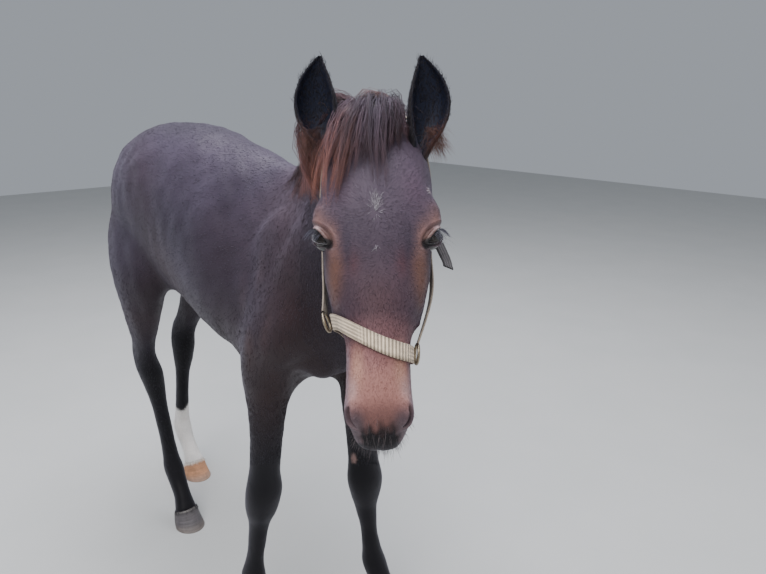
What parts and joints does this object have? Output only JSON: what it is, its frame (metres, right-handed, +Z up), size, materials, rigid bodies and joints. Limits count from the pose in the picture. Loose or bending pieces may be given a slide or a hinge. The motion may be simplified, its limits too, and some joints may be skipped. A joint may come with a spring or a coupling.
{
  "type": "weanling warmblood foal with webbing halter",
  "caption": "Life-size standing weanling foal of a heavy warmblood breed, neck bent and head turned to its right, wearing a webbing halter.",
  "frame": {"origin": "on the floor, under the middle of the model's box", "axes": "+X from tail to chest, +Y to the foal's left, +Z up"},
  "size_m": [1.748, 0.5526, 1.4394],
  "materials": {
    "coat": "short dark bay hair, nearly black, browner on flank, chest and face",
    "ear_skin": "short dark hair outside, dark skin and down inside",
    "tail_hair": "long wavy black-brown hair",
    "eye": "wet dark brown eye",
    "hoof_dark": "dark grey horn with growth rings",
    "hoof_pale": "pale pinkish horn with growth rings",
    "webbing": "worn beige webbing with cross ribs",
    "ring_metal": "dull worn metal"
  },
  "bodies": {
    "root": {"ear_left": "ear_skin", "ear_right": "ear_skin", "eye_left": "eye", "eye_right": "eye", "halter_headstall": "webbing", "halter_noseband": "webbing", "halter_ring_left": "ring_metal", "halter_ring_right": "ring_metal", "head": "coat", "hoof_front_left": "hoof_dark", "hoof_front_right": "hoof_dark", "hoof_hind_left": "hoof_pale", "hoof_hind_right": "hoof_dark", "leg_front_left": "coat", "leg_front_right": "coat", "leg_hind_left": "coat", "leg_hind_right": "coat", "neck": "coat", "tail": "tail_hair", "torso": "coat"}
  },
  "joints": []
}
